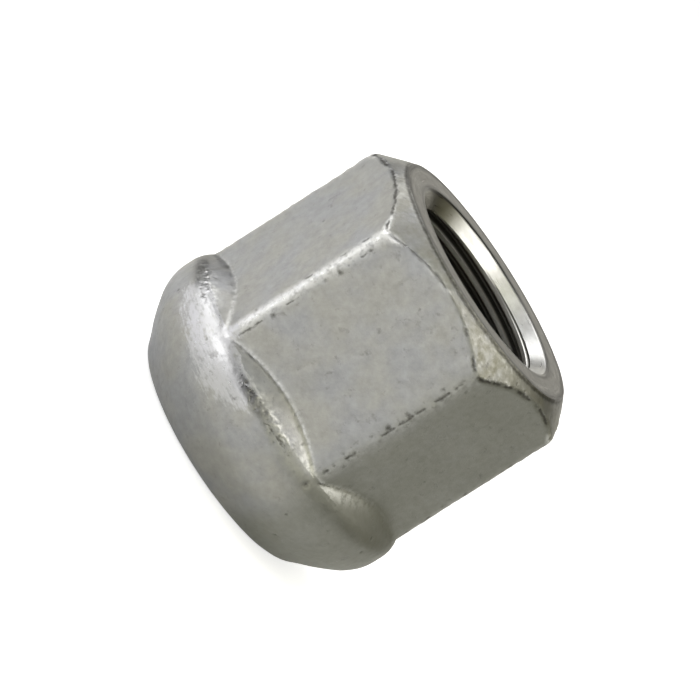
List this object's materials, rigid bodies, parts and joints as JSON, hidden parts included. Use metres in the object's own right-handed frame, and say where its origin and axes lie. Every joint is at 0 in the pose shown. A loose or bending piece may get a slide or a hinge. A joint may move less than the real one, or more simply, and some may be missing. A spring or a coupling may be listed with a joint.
{
  "type": "lug nut",
  "caption": "Forged wheel nut: a hexagon that runs out over a round flange with a spherical seat under it, threaded right through.",
  "frame": {"origin": "centre of the seat end face, on the thread's axis, where the nut stands", "axes": "+Z along the thread's axis, from the seat end to the chamfered outer face; two of the hexagon's flats face +Y and -Y, and two of its corners lie on the X axis"},
  "size_m": [0.038, 0.038, 0.0352],
  "materials": {
    "zinc_steel": "satin zinc plating over forged steel, brighter on the turned faces and worn along the edges"
  },
  "bodies": {
    "root": {"lug_nut": "zinc_steel"}
  },
  "joints": []
}
